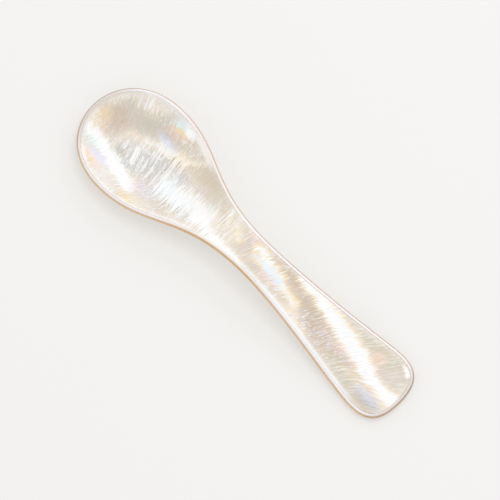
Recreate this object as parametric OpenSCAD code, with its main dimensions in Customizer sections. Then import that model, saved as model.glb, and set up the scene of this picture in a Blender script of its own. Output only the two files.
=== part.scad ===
// Caviar spoon carved from one piece of pearl-oyster shell: a shallow egg-shaped bowl, a narrow arched
// neck and a flared, gently crowned handle. The shell keeps its three grown layers, bonded face to face:
// the nacre face on top, the pale core whose polished edge frames it, and the tan layer underneath.
// Sizes are millimetres. +X runs from the bowl tip to the handle end, +Z is up, and the spoon rests on z = 0.

/* [Overall] */
// Length from bowl tip to handle end
spoon_length = 110; // [95:1:130]

/* [Bowl] */
// Greatest width of the bowl
bowl_width = 29.8; // [24:0.2:36]
// Distance from the bowl tip to the widest and deepest place
bowl_at = 17.5; // [14:0.5:24]
// Depth from the rim at the widest place to the floor of the bowl
bowl_depth = 4.6; // [3:0.1:7]
// Thickness of the shell at the floor of the bowl
bowl_thickness = 1.8; // [1.6:0.1:3]
// Height of the rim at the bowl tip
tip_height = 4.8; // [3.6:0.1:8]
// Bluntness of the bowl tip
tip_bluntness = 0.47; // [0.35:0.01:0.65]
// Roundness of the curve from the tip to the widest place
tip_roundness = 0.7; // [0.4:0.01:0.85]
// Length of the bowl's side before it tapers, as a share of the way to the neck
bowl_shoulder = 0.38; // [0.2:0.01:0.5]

/* [Neck] */
// Least width of the neck
neck_width = 10.4; // [8:0.1:14]
// Distance from the bowl tip to the narrowest place
neck_at = 58; // [48:0.5:64]
// Height of the underside of the neck above the table
neck_lift = 6.2; // [3:0.1:9]
// Thickness of the shell at the neck
neck_thickness = 3; // [2.4:0.1:4]
// Length of the neck's curve into the bowl, as a share of the way between
neck_ease = 0.53; // [0.3:0.01:0.6]

/* [Handle] */
// Greatest width of the handle, near its end
handle_width = 19; // [14:0.2:24]
// Distance from the handle end back to its widest place
handle_from_end = 8.3; // [6:0.1:12]
// Thickness of the handle at its middle line
handle_thickness = 2.9; // [2.6:0.1:4]
// Height of the handle's middle line above its edges
handle_crown = 0.45; // [0.2:0.05:0.8]
// Length of the neck's curve into the handle, as a share of the handle
flare_ease = 0.38; // [0.2:0.01:0.55]
// Length of the bend where the flare ends, as a share of the handle
flare_bend = 0.13; // [0.08:0.01:0.3]
// Roundness of the end corners, along the handle
corner_along = 0.64; // [0.4:0.01:0.8]
// Roundness of the end corners, across the handle
corner_across = 0.77; // [0.5:0.01:0.95]

/* [Shell layers] */
// Thickness of the nacre face
face_thickness = 0.4; // [0.3:0.05:0.5]
// Thickness of the tan layer at the middle line
back_thickness = 0.5; // [0.4:0.05:0.7]
// Width of the whole rounded edge outside the nacre face
rim_width = 1; // [0.8:0.05:1.3]
// Width of the tan line at the outside of that edge
tan_width = 0.35; // [0.2:0.05:0.5]
// Drop of the rounded edge from the face to the widest place
rim_drop = 0.9; // [0.6:0.05:1.2]
// Power of the curve of the underside, where a half is an ellipse and one a parabola
belly_power = 0.67; // [0.55:0.01:0.8]

/* [Rest] */
// Depth ground off the bowl and the handle end underneath to give flats to rest on
rest_flat = 0.15; // [0.1:0.01:0.25]

/* [Hidden] */

bowl_half = bowl_width / 2;
neck_half = neck_width / 2;
handle_half = handle_width / 2;
handle_at = spoon_length - handle_from_end;
bowl_run = neck_at - bowl_at;
handle_run = handle_at - neck_at;

// Heights of the shell at the bowl, the neck and the handle end
bowl_rim = bowl_thickness + bowl_depth;
neck_top = neck_lift + neck_thickness;
handle_rim = handle_thickness - handle_crown;

// Where the tan line begins, as a share of the rounded edge, and how far the edge has dropped there
tan_share = 1 - tan_width / rim_width;
tan_drop = rim_drop * (1 - sqrt(1 - pow(tan_share, 2)));

// Half of the outline seen from above, as four curves from the bowl tip to the handle end
half_outline = [
    [[0, 0], [0, tip_bluntness * bowl_half],
        [bowl_at * (1 - tip_roundness), bowl_half], [bowl_at, bowl_half]],
    [[bowl_at, bowl_half], [bowl_at + bowl_shoulder * bowl_run, bowl_half],
        [neck_at - neck_ease * bowl_run, neck_half], [neck_at, neck_half]],
    [[neck_at, neck_half], [neck_at + flare_ease * handle_run, neck_half],
        [handle_at - flare_bend * handle_run, handle_half], [handle_at, handle_half]],
    [[handle_at, handle_half], [handle_at + corner_along * handle_from_end, handle_half],
        [spoon_length, corner_across * handle_half], [spoon_length, 0]]
];

// Steps along each of the four curves
curve_steps = [11, 14, 12, 10];

// Side-view lines as knots of [distance from the tip, height, slope]
rim_line = [
    [0, tip_height, (bowl_rim - tip_height) / bowl_at],
    [bowl_at, bowl_rim, (neck_top - tip_height) / neck_at],
    [neck_at, neck_top, 0],
    [handle_at, handle_rim, 0]
];
floor_line = [[bowl_at, bowl_thickness, 0], [neck_at, neck_top, 0], [handle_at, handle_thickness, 0]];
belly_line = [[bowl_at, -rest_flat, 0], [neck_at, neck_lift, 0], [handle_at, -rest_flat, 0]];

// Reach is 0 on the middle line, 1 at the edge of the nacre face and 2 at the outline.
face_reach = [0.1, 0.25, 0.45, 0.65, 0.85, 1];
tan_reach = 1 + tan_share;
seam_reach = concat(face_reach, [1 + 0.4 * tan_share, 1 + 0.75 * tan_share, 1 + 0.93 * tan_share, tan_reach]);
belly_reach = concat(face_reach, [1.4, 1.75, 1.94]);

function bezier(p, k) =
    pow(1 - k, 3) * p[0] + 3 * pow(1 - k, 2) * k * p[1] + 3 * (1 - k) * k * k * p[2] + pow(k, 3) * p[3];
function heading(p, k) =
    pow(1 - k, 2) * (p[1] - p[0]) + 2 * (1 - k) * k * (p[2] - p[1]) + k * k * (p[3] - p[2]);
function unit(v) = v / norm(v);
function limit(v, low, high) = min(max(v, low), high);

// A station is a point of the outline and its outward direction.
function station(p, k) =
    let (along = unit(heading(p, k)))
    [bezier(p, k), [-along[1], along[0]]];
function flip(s) = [[s[0][0], -s[0][1]], [s[1][0], -s[1][1]]];
half_stations = concat(
    [for (c = [0:3]) for (i = [0:curve_steps[c] - 1]) station(half_outline[c], i / curve_steps[c])],
    [station(half_outline[3], 1)]
);
last_half = len(half_stations) - 1;
stations = concat(half_stations, [for (i = [last_half - 1:-1:1]) flip(half_stations[i])]);
count = len(stations);

// The middle line starts under the widest place of the bowl and stops under that of the handle.
spine_first = curve_steps[0];
spine_last = curve_steps[0] + curve_steps[1] + curve_steps[2];
function spine_index(i) = limit(min(i, count - i), spine_first, spine_last) - spine_first;

function ease(a, b, x) =
    let (span = b[0] - a[0], u = limit((x - a[0]) / span, 0, 1))
    a[1] * (1 + 2 * u) * pow(1 - u, 2) + b[1] * u * u * (3 - 2 * u)
        + span * u * (1 - u) * (a[2] * (1 - u) - b[2] * u);
function follow(line, x, i = 0) =
    i >= len(line) - 2 || x <= line[i + 1][0] ? ease(line[i], line[i + 1], x) : follow(line, x, i + 1);

// Place seen from above of a station at a reach, and its share of the way from middle line to outline
function face_edge(s) = s[0] - rim_width * s[1];
function middle(s) = [limit(face_edge(s)[0], bowl_at, handle_at), 0];
function plan(s, reach) =
    reach <= 1
        ? middle(s) + reach * (face_edge(s) - middle(s))
        : face_edge(s) + (reach - 1) * rim_width * s[1];
function share(s, reach) =
    let (inner = norm(face_edge(s) - middle(s)))
    (min(reach, 1) * inner + max(reach - 1, 0) * rim_width) / (inner + rim_width);

// Heights of the four surfaces: the face, the rounded edge, the seam over the tan layer and the underside
function face_z(x, reach) =
    let (rim = follow(rim_line, x))
    rim - (rim - follow(floor_line, x)) * (1 - reach * reach);
function edge_z(x, reach) = follow(rim_line, x) - rim_drop * (1 - sqrt(max(0, 1 - pow(reach - 1, 2))));
function sag(top, bottom, part) = top - (top - bottom) * pow(max(0, 1 - part * part), belly_power);
function seam_z(x, part) = sag(follow(rim_line, x) - tan_drop, follow(belly_line, x) + back_thickness, part);
function belly_z(x, part) = sag(follow(rim_line, x) - rim_drop, follow(belly_line, x), part);

// A ring is the loop of points of one surface at one reach.
function on(p, z) = [p[0] - spoon_length / 2, p[1], z];
function face_ring(reach, drop) =
    [for (s = stations) let (p = plan(s, reach)) on(p, face_z(p[0], reach) - drop)];
function edge_ring(reach) = [for (s = stations) let (p = plan(s, reach)) on(p, edge_z(p[0], reach))];
function seam_ring(reach) =
    [for (s = stations) let (p = plan(s, reach)) on(p, seam_z(p[0], share(s, reach) / share(s, tan_reach)))];
function belly_ring(reach) =
    [for (s = stations) let (p = plan(s, reach)) on(p, belly_z(p[0], share(s, reach)))];

// The points of one surface on the middle line
spine_x = [for (i = [spine_first:spine_last]) middle(half_stations[i])[0]];
function face_spine(drop) = [for (x = spine_x) on([x, 0], face_z(x, 0) - drop)];
seam_spine = [for (x = spine_x) on([x, 0], seam_z(x, 0))];
belly_spine = [for (x = spine_x) on([x, 0], belly_z(x, 0))];

function reversed(list) = [for (i = [len(list) - 1:-1:0]) list[i]];
function flat(lists) = [for (list = lists) for (item = list) item];

// One closed layer: out from the upper middle line ring by ring, over the edge and in to the lower one.
// The diagonals run the same way on both sides of a seam, so that two layers meet exactly.
module layer(upper_spine, rings, lower_spine, turn) {
    spine_size = len(upper_spine);
    ring_at = [for (r = [0:len(rings) - 1]) spine_size + r * count];
    lower_at = spine_size + len(rings) * count;
    last = len(rings) - 1;
    faces = [
        for (i = [0:count - 1]) let (
            j = (i + 1) % count,
            s = spine_index(i),
            t = spine_index(j)
        ) each concat(
            [[ring_at[0] + i, ring_at[0] + j, s]],
            s == t ? [] : [[ring_at[0] + j, t, s]],
            [for (r = [0:last - 1]) let (a = ring_at[r], b = ring_at[r + 1])
                each r < turn
                    ? [[b + i, b + j, a + i], [b + j, a + j, a + i]]
                    : [[b + i, b + j, a + j], [b + i, a + j, a + i]]],
            s == t ? [] : [[lower_at + s, lower_at + t, ring_at[last] + j]],
            [[lower_at + s, ring_at[last] + j, ring_at[last] + i]]
        )
    ];
    polyhedron(points = concat(upper_spine, flat(rings), lower_spine), faces = faces, convexity = 6);
}

// Lustrous inner sheet that lines the bowl and faces the handle, flush with the top of the rounded edge
module nacre_face() {
    upper = [for (reach = face_reach) face_ring(reach, 0)];
    lower = [for (reach = reversed(face_reach)) face_ring(reach, face_thickness)];
    color([0.89, 0.87, 0.83])
        layer(face_spine(0), concat(upper, lower), face_spine(face_thickness), len(upper) - 1);
}

// Pale middle of the shell: it holds the face in a shallow recess, and its polished edge is the pale rim
module nacre_core() {
    recess = [for (reach = face_reach) face_ring(reach, face_thickness)];
    edge = [for (k = [0, 0.4, 0.75, 1]) edge_ring(1 + k * tan_share)];
    seam = [for (reach = reversed(seam_reach)) if (reach < tan_reach) seam_ring(reach)];
    turn = len(recess) + len(edge) - 1;
    color([0.96, 0.95, 0.92])
        layer(face_spine(face_thickness), concat(recess, edge, seam), seam_spine, turn);
}

// Tan outer layer of the shell: the whole underside, up to the tan line round the outline, with the two
// flats that it rests on ground off at the table
module tan_back() {
    seam = [for (reach = seam_reach) seam_ring(reach)];
    edge = [for (k = [0.4, 0.75, 1]) edge_ring(tan_reach + k * (2 - tan_reach))];
    belly = [for (reach = reversed(belly_reach)) belly_ring(reach)];
    turn = len(seam) + len(edge) - 1;
    color([0.80, 0.68, 0.52])
        difference() {
            layer(seam_spine, concat(seam, edge, belly), belly_spine, turn);
            translate([-spoon_length / 2, -bowl_half, -1])
                cube([spoon_length, bowl_width, 1]);
        }
}

nacre_face();
nacre_core();
tan_back();
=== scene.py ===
"""Caviar spoon carved from one piece of pearl-oyster shell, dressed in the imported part's own frame.

Metres, +Z up: +X runs from the bowl tip to the handle end, and the spoon lies on z = 0.
"""
import math

import bpy
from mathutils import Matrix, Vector


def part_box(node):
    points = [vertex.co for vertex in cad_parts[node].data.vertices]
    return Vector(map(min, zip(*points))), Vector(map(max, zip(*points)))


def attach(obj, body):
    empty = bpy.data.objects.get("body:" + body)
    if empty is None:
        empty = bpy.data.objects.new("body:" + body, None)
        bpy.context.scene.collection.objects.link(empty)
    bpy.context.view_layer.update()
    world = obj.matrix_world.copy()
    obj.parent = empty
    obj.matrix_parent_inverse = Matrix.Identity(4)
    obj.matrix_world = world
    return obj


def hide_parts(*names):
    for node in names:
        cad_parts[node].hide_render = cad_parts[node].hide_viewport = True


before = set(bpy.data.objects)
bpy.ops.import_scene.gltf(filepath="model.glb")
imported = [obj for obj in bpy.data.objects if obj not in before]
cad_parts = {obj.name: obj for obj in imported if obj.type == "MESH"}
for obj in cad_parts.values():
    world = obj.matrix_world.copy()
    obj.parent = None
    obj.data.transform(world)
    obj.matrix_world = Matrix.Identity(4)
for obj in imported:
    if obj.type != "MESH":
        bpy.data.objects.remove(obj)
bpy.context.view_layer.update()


# Tan back: the outer layer of the shell, which the carver leaves on as the whole underside. It wraps up
# round the edge, so that it shows from above as the tan line round the outline. Two small flats are ground
# into it, under the bowl and under the handle end, where the spoon meets the table.

back_low, back_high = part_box("tan_back")
SPOON = {
    "Length": back_high.x - back_low.x,
    "Bowl Width": back_high.y - back_low.y,
    "Bowl At": 0.0175,
    "Bowl Depth": 0.0046,
    "Bowl Thickness": 0.0018,
    "Tip Height": 0.0048,
    "Neck Width": 0.0104,
    "Neck At": 0.058,
    "Neck Lift": 0.0062,
    "Neck Thickness": 0.003,
    "Handle Width": 0.019,
    "Handle From End": 0.0083,
    "Handle Thickness": 0.0029,
    "Handle Crown": 0.00045,
    "Face Thickness": 0.0004,
    "Back Thickness": 0.0005,
    "Rim Width": 0.001,
    "Tan Width": 0.00035,
    "Rim Drop": 0.0009,
    "Rest Flat": 0.00015,
    "Groove": 0.00012,
}
# Shares of the outline's stretches that its curves' handles take up.
TIP_ROUNDNESS, TIP_BLUNTNESS = 0.7, 0.47
BOWL_SHOULDER, NECK_EASE = 0.38, 0.53
FLARE_EASE, FLARE_BEND = 0.38, 0.13
CORNER_ALONG, CORNER_ACROSS = 0.64, 0.77
BELLY_POWER = 0.67
OUTLINE_CURVES = 4
STEPS_ALONG_CURVE = 44
STEPS_ACROSS_SHEET = 18
WELD_DISTANCE = 1e-6


class Field:
    """A number that a node tree works out. Arithmetic on fields adds the tree's own math nodes."""

    def __init__(self, socket):
        self.socket = socket

    def __add__(self, other):
        return math_node("ADD", self, other)

    def __sub__(self, other):
        return math_node("SUBTRACT", self, other)

    def __rsub__(self, other):
        return math_node("SUBTRACT", other, self)

    def __mul__(self, other):
        return math_node("MULTIPLY", self, other)

    def __truediv__(self, other):
        return math_node("DIVIDE", self, other)

    def __pow__(self, other):
        return math_node("POWER", self, other)

    def __neg__(self):
        return math_node("MULTIPLY", self, -1.0)

    __radd__ = __add__
    __rmul__ = __mul__


def join(value, socket):
    """Puts a field or a plain number into a node's socket."""
    if isinstance(value, Field):
        socket.id_data.links.new(value.socket, socket)
    else:
        socket.default_value = value


def math_node(operation, *values):
    tree = next(v.socket.id_data for v in values if isinstance(v, Field))
    node = tree.nodes.new("ShaderNodeMath")
    node.operation = operation
    for value, socket in zip(values, node.inputs):
        join(value, socket)
    return Field(node.outputs[0])


def lower(a, b):
    return math_node("MINIMUM", a, b)


def higher(a, b):
    return math_node("MAXIMUM", a, b)


def root(value):
    return math_node("SQRT", value)


def whole(value):
    return math_node("FLOOR", value)


def ramp(value, start, end, kind="SMOOTHSTEP"):
    """Rises from 0 at start to 1 at end, and stays there."""
    node = value.socket.id_data.nodes.new("ShaderNodeMapRange")
    node.interpolation_type = kind
    node.clamp = kind == "LINEAR"
    for given, socket in zip((value, start, end), node.inputs):
        join(given, socket)
    return Field(node.outputs[0])


def choose(index, options):
    """The option whose place in the list the index field gives."""
    tree = index.socket.id_data
    node = tree.nodes.new("GeometryNodeIndexSwitch")
    node.data_type = "FLOAT"
    while len(node.index_switch_items) < len(options):
        node.index_switch_items.new()
    join(index, node.inputs[0])
    for option, socket in zip(options, node.inputs[1:]):
        join(option, socket)
    return Field(node.outputs[0])


def shell_layer(name, sheets, material):
    """One closed layer of the spoon, lofted by a node tree from the outline's four curves.

    A sheet is a pair of functions: the reach (0 on the middle line, 1 at the edge of the face, 2 at the
    outline) for a share of the sheet, and the height there. The sheets follow each other from the upper
    middle line over the edge to the lower one.
    """
    tree = bpy.data.node_groups.new(name, "GeometryNodeTree")
    tree.interface.new_socket("Geometry", in_out="OUTPUT", socket_type="NodeSocketGeometry")
    sockets = {}
    for size_name, size in SPOON.items():
        socket = tree.interface.new_socket(size_name, in_out="INPUT", socket_type="NodeSocketFloat")
        socket.default_value = size
        sockets[size_name] = socket.identifier
    inputs = tree.nodes.new("NodeGroupInput")
    size = {n: Field(inputs.outputs[n]) for n in SPOON}

    grid = tree.nodes.new("GeometryNodeMeshGrid")
    grid.inputs["Size X"].default_value = 1.0
    grid.inputs["Size Y"].default_value = 1.0
    grid.inputs["Vertices X"].default_value = OUTLINE_CURVES * STEPS_ALONG_CURVE + 1
    grid.inputs["Vertices Y"].default_value = len(sheets) * STEPS_ACROSS_SHEET + 1
    position = tree.nodes.new("GeometryNodeInputPosition")
    split = tree.nodes.new("ShaderNodeSeparateXYZ")
    tree.links.new(position.outputs[0], split.inputs[0])
    around = (Field(split.outputs[0]) + 0.5) * OUTLINE_CURVES
    across = (Field(split.outputs[1]) + 0.5) * len(sheets)

    length, bowl_at, neck_at = size["Length"], size["Bowl At"], size["Neck At"]
    bowl_half = size["Bowl Width"] * 0.5
    neck_half = size["Neck Width"] * 0.5
    handle_half = size["Handle Width"] * 0.5
    handle_at = length - size["Handle From End"]
    bowl_run = neck_at - bowl_at
    handle_run = handle_at - neck_at
    stretches_x = [
        (0.0, 0.0, bowl_at * (1.0 - TIP_ROUNDNESS), bowl_at),
        (bowl_at, bowl_at + bowl_run * BOWL_SHOULDER, neck_at - bowl_run * NECK_EASE, neck_at),
        (neck_at, neck_at + handle_run * FLARE_EASE, handle_at - handle_run * FLARE_BEND, handle_at),
        (handle_at, handle_at + size["Handle From End"] * CORNER_ALONG, length, length),
    ]
    stretches_y = [
        (0.0, bowl_half * TIP_BLUNTNESS, bowl_half, bowl_half),
        (bowl_half, bowl_half, neck_half, neck_half),
        (neck_half, neck_half, handle_half, handle_half),
        (handle_half, handle_half, handle_half * CORNER_ACROSS, 0.0),
    ]
    stretch = lower(whole(around), OUTLINE_CURVES - 1.0)
    k = around - stretch
    rest = 1.0 - k

    def outline(stretches):
        a, b, c, d = (choose(stretch, options) for options in zip(*stretches))
        place = rest * rest * rest * a + 3.0 * rest * rest * k * b + 3.0 * rest * k * k * c + k * k * k * d
        heading = rest * rest * (b - a) + 2.0 * rest * k * (c - b) + k * k * (d - c)
        return place, heading

    outline_x, heading_x = outline(stretches_x)
    outline_y, heading_y = outline(stretches_y)
    pace = root(heading_x * heading_x + heading_y * heading_y)
    out_x, out_y = -heading_y / pace, heading_x / pace

    rim_width = size["Rim Width"]
    edge_x = outline_x - rim_width * out_x
    edge_y = outline_y - rim_width * out_y
    middle_x = lower(higher(edge_x, bowl_at), handle_at)
    rib_x = edge_x - middle_x
    rib = root(rib_x * rib_x + edge_y * edge_y)

    sheet = lower(whole(across), len(sheets) - 1.0)
    share = across - sheet
    shape = {"size": size}
    shape["groove"] = size["Groove"] / rib
    shape["rim groove"] = size["Groove"] / rim_width
    shape["tan"] = 1.0 - size["Tan Width"] / rim_width
    reach = choose(sheet, [reach_of(share, shape) for reach_of, height_of in sheets])
    within = lower(reach, 1.0)
    beyond = higher(reach - 1.0, 0.0) * rim_width
    x = middle_x + within * rib_x + beyond * out_x
    y = within * edge_y + beyond * out_y

    bowl_rim = size["Bowl Thickness"] + size["Bowl Depth"]
    neck_top = size["Neck Lift"] + size["Neck Thickness"]
    handle_rim = size["Handle Thickness"] - size["Handle Crown"]
    tip = size["Tip Height"]
    to_neck = ramp(x, bowl_at, neck_at)
    to_handle = ramp(x, neck_at, handle_at)

    def eased(low, high, at_neck):
        return low + (at_neck - low) * to_neck + (high - at_neck) * to_handle

    # The rim runs straight up from the tip and bends over towards the neck.
    front = ramp(x, 0.0, bowl_at, "LINEAR")
    back = ramp(x, bowl_at, neck_at, "LINEAR")
    slope_tip = bowl_rim - tip
    slope_front = (neck_top - tip) / neck_at * bowl_at
    slope_back = (neck_top - tip) / neck_at * bowl_run
    to_bowl = ramp(x, 0.0, bowl_at)
    shape["rim"] = (
        tip + (bowl_rim - tip) * to_bowl
        + front * (1.0 - front) * (slope_tip * (1.0 - front) - slope_front * front)
        + (neck_top - bowl_rim) * to_neck
        + back * (1.0 - back) * (1.0 - back) * slope_back
        + (handle_rim - neck_top) * to_handle
    )
    shape["floor"] = eased(size["Bowl Thickness"], size["Handle Thickness"], neck_top)
    shape["belly"] = eased(-size["Rest Flat"], -size["Rest Flat"], size["Neck Lift"])
    shape["reach"] = reach
    shape["part"] = (within * rib + beyond) / (rib + rim_width)
    shape["tan part"] = (rib + shape["tan"] * rim_width) / (rib + rim_width)
    shape["share"] = share
    height = choose(sheet, [height_of(shape) for reach_of, height_of in sheets])

    merged = tree.nodes.new("ShaderNodeCombineXYZ")
    for value, socket in zip((x - length * 0.5, y, height), merged.inputs):
        join(value, socket)
    # Stored before the grid is shaped, because the fields read the flat grid's places.
    stored = grid.outputs["Mesh"]
    for attribute_name, value in (("reach", reach), ("from_edge", (1.0 - reach) * rib)):
        keep = tree.nodes.new("GeometryNodeStoreNamedAttribute")
        keep.inputs["Name"].default_value = attribute_name
        tree.links.new(stored, keep.inputs["Geometry"])
        join(value, keep.inputs["Value"])
        stored = keep.outputs["Geometry"]
    placed = tree.nodes.new("GeometryNodeSetPosition")
    tree.links.new(stored, placed.inputs["Geometry"])
    tree.links.new(merged.outputs[0], placed.inputs["Position"])
    half = placed.outputs["Geometry"]

    # The other side of the spoon is the mirror image of this one.
    mirror = tree.nodes.new("GeometryNodeTransform")
    mirror.inputs["Scale"].default_value = (1.0, -1.0, 1.0)
    flip = tree.nodes.new("GeometryNodeFlipFaces")
    both = tree.nodes.new("GeometryNodeJoinGeometry")
    weld = tree.nodes.new("GeometryNodeMergeByDistance")
    weld.inputs["Distance"].default_value = WELD_DISTANCE
    smooth = tree.nodes.new("GeometryNodeSetShadeSmooth")
    realize = tree.nodes.new("GeometryNodeRealizeInstances")
    paint = tree.nodes.new("GeometryNodeSetMaterial")
    paint.inputs["Material"].default_value = material
    output = tree.nodes.new("NodeGroupOutput")
    tree.links.new(half, mirror.inputs["Geometry"])
    tree.links.new(mirror.outputs["Geometry"], flip.inputs["Mesh"])
    tree.links.new(half, both.inputs["Geometry"])
    tree.links.new(flip.outputs["Mesh"], both.inputs["Geometry"])
    tree.links.new(both.outputs["Geometry"], weld.inputs["Geometry"])
    tree.links.new(weld.outputs["Geometry"], smooth.inputs["Geometry"])
    tree.links.new(smooth.outputs["Geometry"], realize.inputs["Geometry"])
    tree.links.new(realize.outputs["Geometry"], paint.inputs["Geometry"])
    tree.links.new(paint.outputs["Geometry"], output.inputs["Geometry"])

    piece = bpy.data.objects.new(name, bpy.data.meshes.new(name))
    bpy.context.scene.collection.objects.link(piece)
    modifier = piece.modifiers.new(name, "NODES")
    modifier.node_group = tree
    for size_name, identifier in sockets.items():
        modifier[identifier] = SPOON[size_name]
    graph = bpy.context.evaluated_depsgraph_get()
    solid = bpy.data.meshes.new_from_object(
        piece.evaluated_get(graph), preserve_all_data_layers=True, depsgraph=graph
    )
    piece.modifiers.clear()
    piece.data = solid
    return piece


def sag(top, bottom, part):
    return top - (top - bottom) * higher(1.0 - part * part, 0.0) ** BELLY_POWER


def rounded_edge(shape):
    beyond = shape["reach"] - 1.0
    return shape["rim"] - shape["size"]["Rim Drop"] * (1.0 - root(higher(1.0 - beyond * beyond, 0.0)))


def seam(shape):
    tan = shape["tan"]
    drop = shape["size"]["Rim Drop"] * (1.0 - root(1.0 - tan * tan))
    floor = shape["belly"] + shape["size"]["Back Thickness"]
    return sag(shape["rim"] - drop, floor, lower(shape["part"] / shape["tan part"], 1.0))


def underside(shape):
    return higher(sag(shape["rim"] - shape["size"]["Rim Drop"], shape["belly"], shape["part"]), 0.0)


def closing(share):
    """Bunches the rings of a sheet towards its outer end."""
    return 1.0 - (1.0 - share) ** 2.0


def surface_material(name, **constants):
    """A Principled material, its tree and its shader, with plain numbers set on the shader's own sockets."""
    material = bpy.data.materials.new(name)
    material.use_nodes = True
    shader = material.node_tree.nodes["Principled BSDF"]
    for socket_name, value in constants.items():
        shader.inputs[socket_name.replace("_", " ")].default_value = value
    return material, material.node_tree, shader


MILLIMETRES = 1000.0


def spoon_place(tree):
    """Millimetres along the spoon from the bowl tip, and across it, at the point being shaded."""
    place = tree.nodes.new("ShaderNodeTexCoord")
    split = tree.nodes.new("ShaderNodeSeparateXYZ")
    tree.links.new(place.outputs["Object"], split.inputs[0])
    x, y = Field(split.outputs[0]), Field(split.outputs[1])
    return x * MILLIMETRES + SPOON["Length"] * 0.5 * MILLIMETRES, y * MILLIMETRES


def noise(tree, vector, detail=2.0, roughness=0.5):
    """Noise from 0 to 1 at a vector of three fields or numbers."""
    joined = tree.nodes.new("ShaderNodeCombineXYZ")
    for value, socket in zip(vector, joined.inputs):
        join(value, socket)
    node = tree.nodes.new("ShaderNodeTexNoise")
    node.inputs["Scale"].default_value = 1.0
    node.inputs["Detail"].default_value = detail
    node.inputs["Roughness"].default_value = roughness
    tree.links.new(joined.outputs[0], node.inputs["Vector"])
    return Field(node.outputs[0])


def attribute(tree, name):
    """A number that the loft stored on the piece's points."""
    node = tree.nodes.new("ShaderNodeAttribute")
    node.attribute_name = name
    return Field(node.outputs["Fac"])


def bump(tree, shader, height, depth):
    """Lets a height field, from 0 to 1, stand in for a relief of the given depth in metres."""
    node = tree.nodes.new("ShaderNodeBump")
    node.inputs["Distance"].default_value = depth
    join(height, node.inputs["Height"])
    tree.links.new(node.outputs["Normal"], shader.inputs["Normal"])


def blend(factor, first, second):
    """Mixes two colours, each a socket or three numbers, by a field."""
    tree = factor.socket.id_data
    node = tree.nodes.new("ShaderNodeMix")
    node.data_type = "RGBA"
    join(factor, node.inputs[0])
    # A mix node lists its colour sockets after those for numbers and vectors.
    for colour, socket in ((first, node.inputs[6]), (second, node.inputs[7])):
        if isinstance(colour, bpy.types.NodeSocket):
            tree.links.new(colour, socket)
        else:
            socket.default_value = (*colour, 1.0)
    return node.outputs[2]


def neck_near_side(along, aside):
    """1 on the near side of the neck, fading out over the middle line and towards bowl and handle."""
    return ramp(along, 32.0, 42.0) * ramp(along, 72.0, 58.0) * ramp(aside, 0.0, -3.0)


TAN_HONEY = (0.7, 0.53, 0.36)
TAN_CREAM = (0.82, 0.72, 0.58)
TAN_PEARL = (0.9, 0.87, 0.82)
TAN_ROSE = (0.78, 0.62, 0.52)
TAN_BROWN = (0.42, 0.25, 0.12)
TAN_GOLD = (0.74, 0.48, 0.24)
TAN_AMBER = (0.66, 0.38, 0.12)
HINGE_ALONG, HINGE_ASIDE = 175.0, -60.0
tan_shell, tree, shader = surface_material("tan shell", Coat_Weight=0.5, Coat_Roughness=0.08)
along, aside = spoon_place(tree)
# The shell grew in rings round its hinge, which lay past the handle end, in millimetres as above.
from_hinge_x, from_hinge_y = along - HINGE_ALONG, aside - HINGE_ASIDE
drift = noise(tree, (along / 26.0, aside / 20.0, 3.0))
radius = root(from_hinge_x * from_hinge_x + from_hinge_y * from_hinge_y) + (drift - 0.5) * 9.0
angle = math_node("ARCTAN2", from_hinge_y, from_hinge_x)
bands = noise(tree, (radius / 6.0, angle * 3.0, 0.0), detail=3.0)
lines = noise(tree, (radius / 1.1, angle * 5.0, 5.0), detail=1.0)
silk = noise(tree, (radius / 11.0, angle * 150.0, 7.0))
rays = noise(tree, (angle * 45.0, radius / 60.0, 7.0), detail=1.0)
clouds = noise(tree, (along / 13.0, aside / 9.0, 9.0), detail=3.0)
tan_colour = blend(ramp(bands, 0.36, 0.62), TAN_HONEY, TAN_CREAM)
tan_colour = blend(ramp(rays, 0.48, 0.66) * 0.45, tan_colour, TAN_ROSE)
tan_colour = blend(ramp(clouds, 0.46, 0.68) * 0.6, tan_colour, TAN_PEARL)
tan_colour = blend(ramp(clouds, 0.42, 0.28) * 0.4, tan_colour, TAN_GOLD)
tan_colour = blend(ramp(silk, 0.38, 0.7) * 0.3, tan_colour, TAN_PEARL)
tan_colour = blend(ramp(lines, 0.56, 0.72) * 0.16, tan_colour, TAN_BROWN)
# The line round the outline is browner on the far side and at both ends, and amber on the neck's near side.
ends = ramp(along, 9.0, 1.0) + ramp(along, 103.0, 109.0)
by_neck = neck_near_side(along, aside)
edge_colour = blend(ramp(aside, -3.0, 4.0) * 0.45 + ends * 0.75, TAN_GOLD, TAN_BROWN)
edge_colour = blend(by_neck * 0.9, edge_colour, TAN_AMBER)
edge_reach = attribute(tree, "reach") + (clouds - 0.5) * 0.7
tan_colour = blend(ramp(edge_reach, 1.1, 1.6) * 0.9, tan_colour, edge_colour)
tree.links.new(tan_colour, shader.inputs["Base Color"])
join(silk * 0.25 + 0.15, shader.inputs["Roughness"])
bump(tree, shader, bands * 0.7 + lines * 0.3, depth=0.00003)

tan_back = shell_layer("carved_back", [
    (lambda s, shape: closing(s) * (1.0 + shape["tan"]), seam),
    (lambda s, shape: 1.0 + shape["tan"] + s * (1.0 - shape["tan"]), rounded_edge),
    (lambda s, shape: 2.0 - s * s, underside),
    (lambda s, shape: 1.0 - s, underside),
], tan_shell)
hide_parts("tan_back")
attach(tan_back, "root")


# Nacre core: the pale middle of the shell, cut across its layers and polished round, so it shows as a glassy
# pale rim between the tan line and the face. It is grown onto the back.

def groove_blush(along, aside):
    """How pink the groove round the face is: most on the bowl's near side and the handle's far side."""
    blush = ramp(along, 44.0, 30.0) * ramp(aside, 5.0, 0.0) * 0.6
    return blush + ramp(along, 50.0, 70.0) * ramp(aside, -1.0, 3.0) * 0.6


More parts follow.
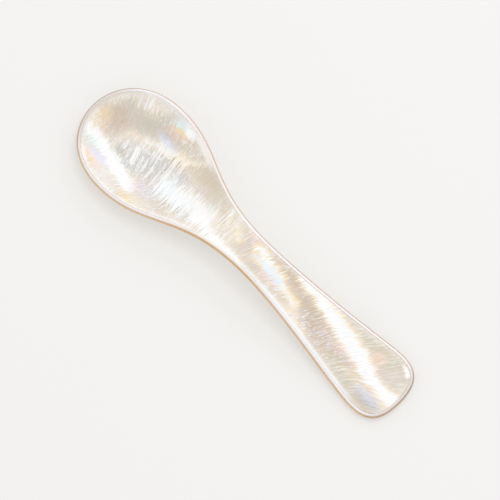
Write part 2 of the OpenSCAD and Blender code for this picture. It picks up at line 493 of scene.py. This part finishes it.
RIM_WHITE = (0.97, 0.95, 0.94)
RIM_LAVENDER = (0.77, 0.76, 0.86)
RIM_PINK = (0.76, 0.62, 0.55)
RIM_TAN = (0.74, 0.53, 0.33)
RIM_SHADE = (0.6, 0.53, 0.47)
pale_shell, tree, shader = surface_material(
    "pale shell", Roughness=0.18, Coat_Weight=1.0, Coat_Roughness=0.04,
    Subsurface_Weight=0.2, Subsurface_Scale=0.0006, Subsurface_Radius=(1.0, 0.9, 0.8)
)
along, aside = spoon_place(tree)
reach = attribute(tree, "reach")
layers = noise(tree, (reach * 9.0, along * 0.05, aside * 0.1))
mottle = noise(tree, (along * 0.12, aside * 0.2, 2.0))
rim_colour = blend(ramp(layers, 0.42, 0.66) * (0.25 + mottle), RIM_WHITE, RIM_LAVENDER)
rim_colour = blend(ramp(reach, 1.25, 1.55) * 0.7, rim_colour, RIM_LAVENDER)
blush = groove_blush(along, aside)
rim_colour = blend(ramp(reach, 1.24, 1.1) * (blush + 0.2) * 0.85, rim_colour, RIM_PINK)
rim_colour = blend(ramp(reach, 1.44, 1.62) * ramp(aside, 1.0, -3.0) * 0.85, rim_colour, RIM_TAN)
by_neck = neck_near_side(along, aside)
rim_colour = blend(ramp(reach, 1.2, 1.5) * by_neck * 0.7, rim_colour, RIM_TAN)
far_bowl = ramp(along, 16.0, 26.0) * ramp(along, 50.0, 40.0) * ramp(aside, 3.0, 6.0)
rim_colour = blend(far_bowl * 0.35, rim_colour, RIM_PINK)
rim_colour = blend(ramp(along, 7.0, 1.0) * 0.55 + ramp(along, 104.0, 109.0) * 0.5, rim_colour, RIM_SHADE)
tree.links.new(rim_colour, shader.inputs["Base Color"])


def rim_lip(shape):
    into = 1.0 - shape["share"]
    return rounded_edge(shape) - shape["size"]["Groove"] * (1.0 - root(higher(1.0 - into * into, 0.0)))


def face_top(shape):
    return shape["rim"] - (shape["rim"] - shape["floor"]) * (1.0 - shape["reach"] * shape["reach"])


def recess(shape):
    return face_top(shape) - shape["size"]["Face Thickness"]


def recess_wall(shape):
    deep = shape["size"]["Face Thickness"] * (1.0 - shape["share"]) + shape["size"]["Groove"] * shape["share"]
    return shape["rim"] - deep


nacre_core = shell_layer("carved_core", [
    (lambda s, shape: s, recess),
    (lambda s, shape: 1.0, recess_wall),
    (lambda s, shape: 1.0 + s * shape["rim groove"], rim_lip),
    (lambda s, shape: 1.0 + shape["rim groove"] + s * (shape["tan"] - shape["rim groove"]), rounded_edge),
    (lambda s, shape: (1.0 + shape["tan"]) * (1.0 - s * s), seam),
], pale_shell)
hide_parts("nacre_core")
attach(nacre_core, "root")


# Nacre face: the inner sheet of the shell, ground and polished to lustre. Growth lines cross it in fine
# strands that lean over along the spoon. Its colour carries painted flashes, sheens and glints in white and
# pastel, where the strands would catch the light. It is grown onto the core, inside the groove that the
# carver polishes round it.

NACRE_CREAM = (0.83, 0.75, 0.64)
NACRE_GREIGE = (0.67, 0.59, 0.5)
NACRE_TAN = (0.56, 0.46, 0.35)
NACRE_STONE = (0.575, 0.535, 0.46)
NACRE_GREY = (0.6, 0.59, 0.575)
NACRE_DOVE = (0.54, 0.51, 0.51)
NACRE_OLIVE = (0.61, 0.545, 0.43)
NACRE_SAND = (0.69, 0.6, 0.465)
NACRE_BUTTER = (0.84, 0.76, 0.63)
NACRE_SHADE = (0.44, 0.39, 0.33)
NACRE_WHITE = (0.93, 0.935, 0.94)
NACRE_ICE = (0.89, 0.94, 0.97)
NACRE_IVORY = (0.95, 0.93, 0.885)
NACRE_MIST = (0.72, 0.76, 0.82)
WARM_WHITE = (0.97, 0.91, 0.79)
CYAN = (0.72, 0.92, 0.93)
SKY = (0.76, 0.87, 0.97)
PERIWINKLE = (0.66, 0.68, 0.89)
MAUVE = (0.72, 0.59, 0.59)
PINK = (0.88, 0.69, 0.74)
LILAC = (0.77, 0.68, 0.73)
PEACH = (0.88, 0.64, 0.49)
ORANGE = (0.88, 0.6, 0.34)
AMBER = (0.81, 0.62, 0.37)
ROSE = (0.76, 0.57, 0.5)
GOLD = (0.95, 0.78, 0.47)
SAGE = (0.6, 0.62, 0.49)
GLARE = (1.0, 1.0, 1.0)
SPARK_VIOLET = (0.6, 0.56, 0.97)
SPARK_ROSE = (0.96, 0.62, 0.64)
SPARK_GOLD = (0.99, 0.78, 0.42)
SPARK_BLUE = (0.56, 0.78, 0.99)
BORDER_PINK = (0.74, 0.58, 0.49)
BORDER_SHADE = (0.62, 0.56, 0.5)

# Places on the face are in millimetres, from the bowl tip and from the middle line.
# Each zone: middle, half length, half width, strength and colour.
ZONES = [
    ((7.0, 2.0), 5.0, 6.5, 1.0, NACRE_TAN),
    ((7.0, 7.2), 3.0, 2.5, 0.7, NACRE_STONE),
    ((13.0, 6.0), 7.0, 4.0, 0.9, NACRE_STONE),
    ((19.5, 8.0), 7.0, 3.0, 0.9, NACRE_STONE),
    ((16.5, 9.4), 4.5, 2.0, 0.7, NACRE_STONE),
    ((15.5, -1.5), 7.0, 4.0, 0.8, NACRE_GREY),
    ((15.5, -4.2), 6.0, 2.8, 1.0, NACRE_GREY),
    ((13.6, -3.8), 2.8, 1.8, 0.8, NACRE_STONE),
    ((22.5, -0.2), 6.5, 5.0, 1.0, NACRE_GREY),
    ((24.5, -6.5), 4.5, 2.2, 0.9, NACRE_GREY),
    ((29.5, 1.5), 5.5, 3.0, 0.9, NACRE_GREY),
    ((26.0, 9.0), 1.6, 2.8, 0.6, NACRE_SAND),
    ((35.0, 6.2), 10.0, 4.0, 0.9, NACRE_SAND),
    ((30.5, -7.8), 6.0, 2.2, 0.6, NACRE_GREIGE),
    ((37.5, -5.0), 3.0, 1.6, 0.7, NACRE_GREY),
    ((46.0, 0.5), 8.0, 4.5, 0.6, NACRE_GREIGE),
    ((54.5, 0.4), 5.0, 3.4, 1.0, NACRE_GREIGE),
    ((59.5, -1.9), 6.0, 2.6, 1.0, NACRE_GREIGE),
    ((67.5, 2.8), 11.0, 2.8, 0.9, NACRE_TAN),
    ((67.0, -2.2), 6.0, 1.8, 0.7, NACRE_GREIGE),
    ((78.0, 0.4), 10.0, 2.8, 0.95, NACRE_TAN),
    ((81.0, -2.0), 5.5, 2.0, 0.9, NACRE_TAN),
    ((90.0, -2.6), 11.0, 3.0, 0.8, NACRE_TAN),
    ((97.0, -5.2), 12.0, 3.2, 0.95, NACRE_OLIVE),
    ((98.0, 5.6), 13.0, 3.4, 1.0, NACRE_OLIVE),
    ((105.0, 4.2), 4.0, 3.0, 0.8, NACRE_GREIGE),
    ((105.0, -6.4), 5.0, 2.6, 0.9, NACRE_TAN),
    ((103.4, -5.2), 4.8, 2.1, 1.0, NACRE_DOVE),
]
# Each flash, a painted band of chatoyant highlight: its two ends, half width, feather, strength and colour.
FLASHES = [
    ((2.6, -5.0), (8.0, -5.3), 0.8, 1.2, 0.95, NACRE_WHITE),
    ((8.0, -5.3), (14.0, -6.9), 1.0, 1.1, 1.0, NACRE_WHITE),
    ((14.0, -6.9), (22.0, -9.2), 1.1, 1.1, 1.0, NACRE_WHITE),
    ((12.5, -12.3), (20.0, -12.6), 0.3, 0.8, 0.5, NACRE_WHITE),
    ((10.6, -2.6), (11.6, 1.0), 0.1, 1.2, 0.4, NACRE_BUTTER),
    ((11.6, 1.4), (16.0, 3.2), 0.1, 1.2, 0.5, NACRE_BUTTER),
    ((16.0, 3.2), (20.0, 4.4), 0.1, 1.1, 0.6, NACRE_IVORY),
    ((20.0, 4.4), (24.5, 4.7), 0.5, 1.1, 0.95, NACRE_IVORY),
    ((24.5, 5.2), (28.0, 5.8), 0.5, 0.9, 0.95, WARM_WHITE),
    ((28.0, 5.7), (32.4, 9.0), 0.1, 0.9, 0.7, WARM_WHITE),
    ((7.8, 9.9), (8.4, 8.2), 0.05, 0.4, 0.7, NACRE_WHITE),
    ((9.1, 11.2), (10.1, 8.8), 0.0, 0.45, 0.8, NACRE_ICE),
    ((10.3, 11.6), (11.0, 9.6), 0.1, 0.45, 0.85, NACRE_ICE),
    ((11.4, 10.7), (12.3, 9.0), 0.05, 0.4, 0.7, NACRE_WHITE),
    ((12.6, 10.8), (13.2, 9.8), 0.1, 0.5, 0.7, NACRE_WHITE),
    ((21.8, 12.4), (25.0, 11.0), 0.3, 1.0, 1.0, NACRE_WHITE),
    ((28.4, -2.0), (34.0, -2.3), 1.6, 1.2, 1.0, NACRE_ICE),
    ((33.0, -1.2), (42.0, -0.9), 1.4, 1.6, 0.95, NACRE_WHITE),
    ((30.5, -4.6), (37.0, -4.8), 0.4, 1.2, 0.8, NACRE_ICE),
    ((39.0, -4.1), (46.0, -3.6), 0.4, 1.2, 1.0, NACRE_WHITE),
    ((46.0, -3.8), (57.0, -4.2), 0.2, 0.8, 1.0, NACRE_WHITE),
    ((46.0, 4.6), (46.6, 2.2), 0.1, 0.7, 0.95, NACRE_WHITE),
    ((48.8, 2.6), (52.4, 0.2), 0.1, 0.9, 0.6, WARM_WHITE),
    ((57.8, 2.3), (62.0, 1.7), 0.3, 1.0, 0.9, NACRE_WHITE),
    ((62.0, 1.8), (67.0, 1.2), 0.1, 1.0, 0.7, NACRE_WHITE),
    ((58.2, 0.2), (62.0, 0.1), 0.1, 0.9, 0.75, SKY),
    ((62.0, 0.1), (68.5, -0.5), 0.4, 0.9, 1.0, SKY),
    ((68.5, -0.6), (74.0, -1.4), 0.2, 0.9, 0.7, NACRE_WHITE),
    ((74.5, -3.8), (80.0, -5.4), 0.1, 0.9, 0.6, WARM_WHITE),
    ((70.5, 4.9), (79.0, 4.2), 0.45, 1.2, 0.95, NACRE_WHITE),
    ((79.0, 4.1), (86.0, 2.8), 1.1, 1.3, 1.0, NACRE_WHITE),
    ((86.0, 2.8), (95.0, 1.1), 1.25, 1.4, 1.0, NACRE_WHITE),
    ((95.0, 1.1), (100.0, -0.9), 1.25, 1.4, 1.0, NACRE_WHITE),
    ((100.0, -0.8), (106.5, -1.3), 0.8, 1.2, 1.0, NACRE_WHITE),
    ((107.4, -1.2), (109.0, -1.1), 1.4, 1.0, 0.95, NACRE_WHITE),
]
# Further from every flash than its fringe goes.
FAR_OFF = 9.0
# Each glint, a painted highlight on a single strand: its two ends, half width and strength.
GLINTS = [
    ((13.0, -0.2), (13.5, -2.0), 0.05, 0.8),
    ((16.1, 0.1), (17.5, -3.5), 0.45, 1.0),
    ((18.8, -0.6), (19.4, -3.6), 0.0, 0.6),
    ((17.2, 5.0), (18.2, 2.4), 0.0, 0.4),
    ((19.2, 4.8), (20.2, 1.6), 0.0, 0.5),
    ((21.2, 4.2), (21.9, 0.8), 0.0, 0.5),
    ((22.3, -0.6), (22.9, -4.4), 0.1, 0.8),
    ((24.8, -1.0), (25.2, -4.0), 0.0, 0.6),
    ((26.3, 1.0), (26.7, -4.6), 0.25, 0.9),
    ((25.6, 5.2), (26.2, 1.6), 0.0, 0.4),
    ((27.8, 3.6), (28.0, 0.0), 0.0, 0.5),
]
GLINT_FEATHER = 0.5
# Each tint, partly the nacre's own pastel colour and partly painted iridescent sheen: middle, half length,
# half width, strength and colour.
TINTS = [
    ((4.2, -0.2), 2.8, 3.3, 0.95, AMBER),
    ((7.2, 1.8), 3.6, 5.0, 0.35, MAUVE),
    ((6.2, -7.0), 3.8, 1.5, 0.75, CYAN),
    ((8.6, 9.6), 1.8, 1.6, 0.7, LILAC),
    ((10.5, -8.8), 5.0, 1.6, 0.8, PERIWINKLE),
    ((8.3, -10.8), 5.5, 1.6, 1.0, ORANGE),
    ((16.5, -10.4), 4.5, 1.0, 0.5, SKY),
    ((15.5, -11.4), 5.0, 1.2, 0.6, PINK),
    ((24.2, -11.4), 4.0, 1.7, 0.9, GOLD),
    ((24.8, -6.9), 5.0, 2.8, 0.9, LILAC),
    ((25.0, 6.4), 4.5, 1.2, 0.5, GOLD),
    ((28.2, -5.5), 2.6, 1.5, 0.6, SKY),
    ((36.5, 3.0), 3.0, 1.6, 0.8, MAUVE),
    ((47.0, 0.4), 7.0, 2.4, 0.5, WARM_WHITE),
    ((54.8, 3.0), 2.0, 1.4, 0.7, PINK),
    ((55.6, 4.0), 4.0, 1.0, 0.8, PEACH),
    ((56.5, -1.0), 4.0, 1.8, 0.4, MAUVE),
    ((60.5, -0.7), 4.5, 0.9, 0.3, GOLD),
    ((65.5, -1.2), 5.0, 1.2, 0.6, LILAC),
    ((82.0, 0.2), 4.5, 1.5, 0.4, MAUVE),
    ((90.0, -1.3), 8.0, 1.4, 0.6, MAUVE),
    ((96.0, -3.8), 4.0, 1.4, 0.5, GOLD),
    ((98.6, 4.5), 2.8, 2.2, 1.0, PEACH),
    ((105.5, 3.8), 3.0, 1.6, 0.2, PINK),
    ((103.4, -4.6), 5.0, 1.4, 0.5, PERIWINKLE),
]
# Each sheen, nearly smooth: painted iridescent sheen, painted glare on the bowl's far flank and at the handle
# end's corner, and painted highlights along the neck's near side. Its middle, half length, half width,
# strength and colour.
SHEENS = [
    ((7.2, -10.2), 4.0, 1.7, 0.5, ORANGE),
    ((10.8, -8.9), 5.5, 1.5, 0.4, PERIWINKLE),
    ((20.4, 6.8), 4.5, 1.0, 0.65, PERIWINKLE),
    ((20.8, 6.0), 4.5, 0.9, 0.55, SKY),
    ((20.2, 8.8), 5.0, 1.2, 0.75, ROSE),
    ((21.3, 9.9), 4.0, 1.0, 0.9, PEACH),
    ((21.6, 10.7), 3.0, 0.7, 0.85, GOLD),
    ((20.6, 11.6), 3.2, 0.8, 1.1, CYAN),
    ((20.2, 12.6), 2.6, 0.8, 0.7, SKY),
    ((23.6, 11.9), 2.2, 1.4, 1.3, GLARE),
    ((42.5, -3.2), 5.0, 2.0, 0.9, NACRE_WHITE),
    ((49.5, -3.6), 6.5, 1.0, 0.95, NACRE_WHITE),
    ((104.9, 7.3), 1.3, 0.6, 0.9, GLARE),
    ((105.8, 6.9), 1.1, 0.8, 0.9, GLARE),
    ((106.6, 6.3), 0.8, 0.9, 0.9, GLARE),
]
# Each sparkle, a patch of painted coloured and white glints: middle, half length, half width and strength.
SPARKLES = [
    ((5.0, -2.5), 4.0, 3.5, 0.6),
    ((9.0, -10.4), 6.0, 1.8, 0.6),
    ((14.5, 2.4), 6.0, 2.0, 0.8),
    ((24.0, -6.7), 5.0, 2.6, 1.0),
    ((24.0, 6.2), 6.0, 1.6, 0.7),
    ((47.0, 0.5), 8.0, 2.8, 0.4),
    ((66.5, -1.8), 6.0, 2.0, 1.0),
    ((78.5, -3.4), 7.0, 3.2, 1.0),
    ((89.0, -5.6), 8.0, 1.6, 0.8),
    ((91.0, -1.2), 11.0, 2.0, 1.0),
    ((101.5, -3.6), 8.0, 2.2, 1.0),
]
nacre, tree, shader = surface_material("nacre", Coat_Weight=0.4, Coat_Roughness=0.1)
along, aside = spoon_place(tree)
lean = (
    ramp(along, 6.0, 32.0) * 0.34 + ramp(along, 44.0, 64.0) * 0.5 + ramp(along, 70.0, 100.0) * 0.25 - 0.36
    + ramp(along, 90.0, 104.0) * ramp(aside, 0.0, -5.0) * 1.1
    + ramp(along, 36.0, 22.0) * ramp(aside, -5.0, -12.0) * 0.45
)
waver = noise(tree, (along / 10.0, aside / 8.0, 30.0), detail=1.0)
strand_at = along - lean * aside + (waver - 0.5) * 1.6


def strands(width, length, seed, detail=2.0, roughness=0.5):
    """Noise drawn out along the growth lines, so wide and so long in millimetres."""
    return noise(tree, (strand_at / width, aside / length, seed), detail, roughness)


def patches(length, width, seed, detail=2.0):
    """Noise in soft patches, so long and so wide in millimetres."""
    return noise(tree, (along / length, aside / width, seed), detail)


fine = strands(0.46, 8.0, 0.0, roughness=0.4)
hairs = strands(0.24, 3.2, 50.0)
flecks = strands(0.3, 0.9, 80.0, detail=1.0)
broad = strands(1.6, 14.0, 6.0)
glints = strands(0.5, 2.6, 40.0)
sparks = strands(0.42, 1.4, 70.0, detail=1.0)
hues = strands(0.8, 1.7, 18.0, detail=4.0, roughness=0.7)
clouds = patches(11.0, 6.0, 12.0, detail=3.0)

# How far the strands carry an edge along with them: furthest over the neck. The bowl's edges are grainy.
ragged = ramp(along, 20.0, 28.0) * ramp(along, 56.0, 44.0)
ragged = ragged * (1.0 - ramp(aside, 2.0, 6.0) * ramp(along, 40.0, 32.0)) * 1.3 + 0.75
grainy = ramp(along, 56.0, 30.0) * 2.4 + 1.0
fray = ((fine - 0.5) * 5.0 + (hairs - 0.5) * 4.0 + (broad - 0.5) * 1.6) * ragged + (flecks - 0.5) * grainy


def frayed_place(amount):
    """The place on the face, carried along its strand by a share of the fray."""
    joined = tree.nodes.new("ShaderNodeCombineXYZ")
    join(along + lean * fray * amount, joined.inputs[0])
    join(aside + fray * amount, joined.inputs[1])
    return joined.outputs[0]


def vector_math(operation, *values):
    """A vector math node on sockets or plain triples."""
    node = tree.nodes.new("ShaderNodeVectorMath")
    node.operation = operation
    for value, socket in zip(values, node.inputs):
        if isinstance(value, bpy.types.NodeSocket):
            tree.links.new(value, socket)
        else:
            socket.default_value = value
    return node


def spot(place, middle, half_length, half_width):
    """Fades from 1 at its middle to 0 at its edge."""
    scale = (1.0 / half_length, 1.0 / half_width, 0.0)
    shift = (-middle[0] / half_length, -middle[1] / half_width, 0.0)
    scaled = vector_math("MULTIPLY_ADD", place, scale, shift)
    return ramp(Field(vector_math("LENGTH", scaled.outputs[0]).outputs["Value"]), 1.2, 0.2)


def line_distance(place, start, end):
    """Millimetres from the line between two places.

    The nodes are made in the order in which the renderer can work them out. Otherwise the values of every
    line wait for each other, and the renderer can hold only so many at once.
    """
    start, end = Vector((*start, 0.0)), Vector((*end, 0.0))
    heading = (end - start).normalized()
    offset = vector_math("SUBTRACT", place, start).outputs[0]
    gone = Field(vector_math("DOT_PRODUCT", offset, heading).outputs["Value"])
    gone = lower(higher(gone, 0.0), (end - start).length)
    carried = vector_math("SCALE", heading)
    join(gone, carried.inputs["Scale"])
    return Field(vector_math("DISTANCE", offset, carried.outputs[0]).outputs["Value"])


def spread(factor, *colours):
    """Runs through evenly spaced colours as the factor goes from 0 to 1."""
    node = factor.socket.id_data.nodes.new("ShaderNodeValToRGB")
    node.color_ramp.interpolation = "EASE"
    stops = node.color_ramp.elements
    while len(stops) < len(colours):
        stops.new(0.5)
    for index, colour in enumerate(colours):
        stops[index].position = index / (len(colours) - 1)
        stops[index].color = (*colour, 1.0)
    join(factor, node.inputs[0])
    return node.outputs[0]


plain, half_frayed, frayed = frayed_place(0.0), frayed_place(0.5), frayed_place(1.0)
barely_frayed = frayed_place(0.3)

# The dark zones by the bowl tip and along the far side are calm, without strands.
calm = spot(plain, (7.0, 2.0), 5.5, 6.5) + spot(plain, (13.5, 6.0), 9.0, 5.0)
calm = calm + spot(plain, (36.0, 6.5), 9.0, 4.0) + spot(plain, (71.0, 2.6), 11.0, 2.6) * 0.7
stirred = 1.0 - lower(calm, 1.0) * 0.8
patchy = ramp(patches(5.0, 3.3, 60.0), 0.38, 0.6) * stirred
nacre_colour = blend(ramp(clouds, 0.35, 0.65), NACRE_GREIGE, NACRE_CREAM)
for middle, half_length, half_width, strength, colour in ZONES:
    zone = spot(half_frayed, middle, half_length, half_width) * strength
    nacre_colour = blend(zone, nacre_colour, colour)
nacre_colour = blend(ramp(hues, 0.54, 0.68) * 0.3, nacre_colour, SAGE)
nacre_colour = blend(ramp(hues, 0.46, 0.34) * 0.2, nacre_colour, MAUVE)

# The strands themselves stand out most in the middle of the bowl and over the neck.
depth = spot(plain, (21.5, 0.4), 11.0, 5.8) * 0.85 + spot(plain, (46.0, 0.5), 8.0, 5.0) * 0.4
depth = depth + spot(plain, (95.0, 5.0), 13.0, 3.2) * 0.25 + spot(plain, (97.0, -4.0), 14.0, 4.0) * 0.3
depth = depth + stirred * 0.15
nacre_colour = blend(ramp(fine, 0.48, 0.38) * depth * 0.32, nacre_colour, NACRE_SHADE)
nacre_colour = blend(ramp(fine, 0.54, 0.59) * depth * 0.85, nacre_colour, NACRE_WHITE)
nacre_colour = blend(ramp(hairs, 0.55, 0.63) * depth * 0.7, nacre_colour, NACRE_WHITE)
# Fine grain in the nacre, with sparse bright flecks of painted glint.
nacre_colour = blend(ramp(flecks, 0.54, 0.72) * stirred * grainy * 0.08, nacre_colour, NACRE_WHITE)
nacre_colour = blend(ramp(flecks, 0.6, 0.67) * stirred * grainy * 0.2, nacre_colour, NACRE_WHITE)
nacre_colour = blend(ramp(flecks, 0.46, 0.28) * stirred * grainy * 0.05, nacre_colour, NACRE_SHADE)

# A painted flash fades out through a painted warm fringe.
distances = []
nearest = FAR_OFF
for start, end, half_width, feather, strength, colour in FLASHES:
    distances.append(line_distance(frayed, start, end) - half_width)
    nearest = lower(distances[-1], nearest)
warmth = ramp(along, 34.0, 74.0) * 0.7 - ramp(along, 98.0, 103.0) * ramp(aside, -1.0, 0.5) * 0.5 + 0.15
warmth = warmth * (patchy * 0.5 + 0.5)
warmth = warmth * (1.0 - ramp(aside, 0.0, -3.0) * ramp(along, 88.0, 78.0) * 0.6)
nacre_colour = blend(ramp(nearest, 2.4, 1.2) * warmth * 0.3, nacre_colour, PEACH)
nacre_colour = blend(ramp(nearest, 1.6, 0.9) * warmth, nacre_colour, GOLD)
dull = 1.0
for distance, (start, end, half_width, feather, strength, colour) in zip(distances, FLASHES):
    bright = ramp(distance, feather, 0.0) * strength
    nacre_colour = blend(bright, nacre_colour, colour)
    dull = (1.0 - bright) * dull
glint = 0.0
for start, end, half_width, strength in GLINTS:
    distance = line_distance(barely_frayed, start, end) - half_width
    glint = higher(ramp(distance, GLINT_FEATHER, 0.0) * strength, glint)
nacre_colour = blend(glint * (ramp(hairs, 0.36, 0.56) * 0.6 + 0.4), nacre_colour, NACRE_WHITE)
nacre_colour = blend(ramp(fine, 0.47, 0.38) * (1.0 - dull) * 0.22, nacre_colour, NACRE_MIST)

streaky = ramp(glints, 0.42, 0.55) * 0.52 + ramp(fine, 0.43, 0.54) * 0.43 + 0.1
for middle, half_length, half_width, strength, colour in TINTS:
    tint = spot(half_frayed, middle, half_length, half_width) * streaky * strength
    nacre_colour = blend(tint, nacre_colour, colour)
for middle, half_length, half_width, strength, colour in SHEENS:
    sheen = spot(barely_frayed, middle, half_length, half_width) * (streaky * 0.4 + 0.6) * strength
    nacre_colour = blend(sheen, nacre_colour, colour)
# Painted iridescent and white glints along the strands.
rainbow = spread(ramp(hues, 0.3, 0.7, "LINEAR"), PINK, GOLD, CYAN, PERIWINKLE, PEACH)
nacre_colour = blend(ramp(glints, 0.5, 0.62) * patchy * 0.35, nacre_colour, rainbow)
spark_colour = spread(
    ramp(hues, 0.36, 0.64, "LINEAR"), SPARK_VIOLET, SPARK_GOLD, SPARK_ROSE, SPARK_BLUE, SPARK_VIOLET
)
lively = 0.0
for middle, half_length, half_width, strength in SPARKLES:
    lively = higher(spot(half_frayed, middle, half_length, half_width) * strength, lively)
nacre_colour = blend(ramp(sparks, 0.55, 0.63) * lively * 0.9, nacre_colour, spark_colour)
nacre_colour = blend(ramp(flecks, 0.57, 0.66) * lively * 0.7, nacre_colour, NACRE_WHITE)
nacre_colour = blend(ramp(glints, 0.58, 0.68) * patchy * 0.4, nacre_colour, NACRE_WHITE)

# Painted highlights lie along the polished border: brightest on the near side of the bowl and neck, and on
# the bowl's far side and the handle's near side, with a cool painted sheen by the bowl's far side. A blush
# lies in the groove round it.
from_edge = attribute(tree, "from_edge") * MILLIMETRES
border_highlight = ramp(aside, 2.0, -4.0) * ramp(along, 66.0, 54.0) * 0.6 + 0.15
nacre_colour = blend(ramp(from_edge, 1.3, 0.4) * border_highlight * (patchy * 0.5 + 0.5), nacre_colour, NACRE_WHITE)
far_edge = ramp(aside, 3.0, 8.0) * ramp(along, 34.0, 24.0)
nacre_colour = blend(ramp(from_edge, 2.4, 0.4) * far_edge * 0.3, nacre_colour, NACRE_ICE)
bright_edge = ramp(aside, 6.0, 8.0) * ramp(along, 24.5, 26.5) * ramp(along, 36.0, 31.0)
nacre_colour = blend(ramp(from_edge, 1.7, 0.8) * bright_edge * 0.9, nacre_colour, NACRE_IVORY)
low_edge = ramp(aside, -1.0, -4.0) * ramp(along, 56.0, 68.0) * ramp(along, 104.0, 94.0)
nacre_colour = blend(ramp(from_edge, 1.3, 0.3) * low_edge * 0.85, nacre_colour, NACRE_WHITE)
nacre_colour = blend(ramp(from_edge, 1.4, 0.2) * ramp(along, 9.0, 3.0) * 0.6, nacre_colour, BORDER_SHADE)
blush = groove_blush(along, aside)
nacre_colour = blend(ramp(from_edge, 0.3, 0.05) * blush * 0.6, nacre_colour, BORDER_PINK)
tree.links.new(nacre_colour, shader.inputs["Base Color"])
join(fine * 0.3 + 0.13, shader.inputs["Roughness"])
bump(tree, shader, fine * 0.6 + hairs * 0.4, depth=0.00001)


def face_lip(shape):
    into = shape["share"]
    return face_top(shape) - shape["size"]["Groove"] * (1.0 - root(higher(1.0 - into * into, 0.0)))


nacre_face = shell_layer("carved_face", [
    (lambda s, shape: s * (1.0 - shape["groove"]), face_top),
    (lambda s, shape: 1.0 - (1.0 - s) * shape["groove"], face_lip),
    (lambda s, shape: 1.0, lambda shape: recess_wall({**shape, "share": 1.0 - shape["share"]})),
    (lambda s, shape: 1.0 - s, recess),
], nacre)
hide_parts("nacre_face")
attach(nacre_face, "root")


# Studio: a plain pale table under the spoon, one large soft lamp over its far side and an even pale room.

TABLE_PALE = (0.82, 0.88, 0.955)
TABLE_WARM = (0.925, 0.865, 0.785)
TABLE_GLOW = 0.56
TABLE_HALF = 3.0
TABLE_GAP = 0.00005
ROOM_PALE = (1.0, 0.99, 0.98)
ROOM_LIGHT = 0.76
table_material, tree, shader = surface_material("table", Roughness=0.6)
shader.inputs["Base Color"].default_value = (*TABLE_PALE, 1.0)
# What the camera and reflections see is partly an even warm glow, so the shadow stays light.
glow = tree.nodes.new("ShaderNodeEmission")
glow.inputs["Color"].default_value = (*TABLE_WARM, 1.0)
path = tree.nodes.new("ShaderNodeLightPath")
seen = Field(path.outputs["Is Camera Ray"]) + Field(path.outputs["Is Glossy Ray"])
seen = lower(seen + Field(path.outputs["Is Transmission Ray"]), 1.0)
mixed = tree.nodes.new("ShaderNodeMixShader")
join(seen * TABLE_GLOW, mixed.inputs[0])
tree.links.new(shader.outputs[0], mixed.inputs[1])
tree.links.new(glow.outputs[0], mixed.inputs[2])
tree.links.new(mixed.outputs[0], tree.nodes["Material Output"].inputs["Surface"])
table_mesh = bpy.data.meshes.new("table")
corners = [(x * TABLE_HALF, y * TABLE_HALF, 0.0) for x, y in ((-1, -1), (1, -1), (1, 1), (-1, 1))]
table_mesh.from_pydata(corners, [], [(0, 1, 2, 3)])
table_mesh.materials.append(table_material)
table = bpy.data.objects.new("table", table_mesh)
table.location.z = -TABLE_GAP
bpy.context.scene.collection.objects.link(table)


def soft_lamp(name, place, width, depth, power):
    """A soft panel lamp that faces the spoon."""
    data = bpy.data.lights.new(name, "AREA")
    data.shape = "RECTANGLE"
    data.size, data.size_y = width, depth
    data.energy = power
    lamp = bpy.data.objects.new(name, data)
    lamp.location = place
    lamp.rotation_mode = "QUATERNION"
    lamp.rotation_quaternion = lamp.location.to_track_quat("Z", "Y")
    bpy.context.scene.collection.objects.link(lamp)
    return lamp


key_lamp = soft_lamp("key lamp", (0.0, 0.14, 0.55), width=0.3, depth=0.3, power=1.0)
key_lamp.visible_glossy = False
strip_lamp = soft_lamp("strip lamp", (-0.05, 0.4, 0.36), width=0.4, depth=0.12, power=0.25)

world = bpy.data.worlds.new("pale room")
world.use_nodes = True
background = world.node_tree.nodes["Background"]
background.inputs["Color"].default_value = (*ROOM_PALE, 1.0)
background.inputs["Strength"].default_value = ROOM_LIGHT
bpy.context.scene.world = world

# The camera looks down at the photograph's angle through a long lens, with the spoon on the slant.
AZIMUTH, ELEVATION = math.radians(44.8), math.radians(77.4)
VIEW_WIDTH = 0.12683
LENS = 240.0
back_to_camera = Vector((
    math.sin(AZIMUTH) * math.cos(ELEVATION), -math.cos(AZIMUTH) * math.cos(ELEVATION), math.sin(ELEVATION)
))
camera_data = bpy.data.cameras.new("camera")
camera_data.lens = LENS
camera = bpy.data.objects.new("camera", camera_data)
camera.rotation_mode = "QUATERNION"
camera.rotation_quaternion = back_to_camera.to_track_quat("Z", "Y")
aim = Vector((0.0009, 0.00086, 0.006))
camera.location = aim + back_to_camera * (VIEW_WIDTH * LENS / camera_data.sensor_width)
camera_data.clip_start, camera_data.clip_end = 0.01, 20.0
bpy.context.scene.collection.objects.link(camera)
bpy.context.scene.camera = camera
bpy.context.scene.view_settings.view_transform = "Standard"
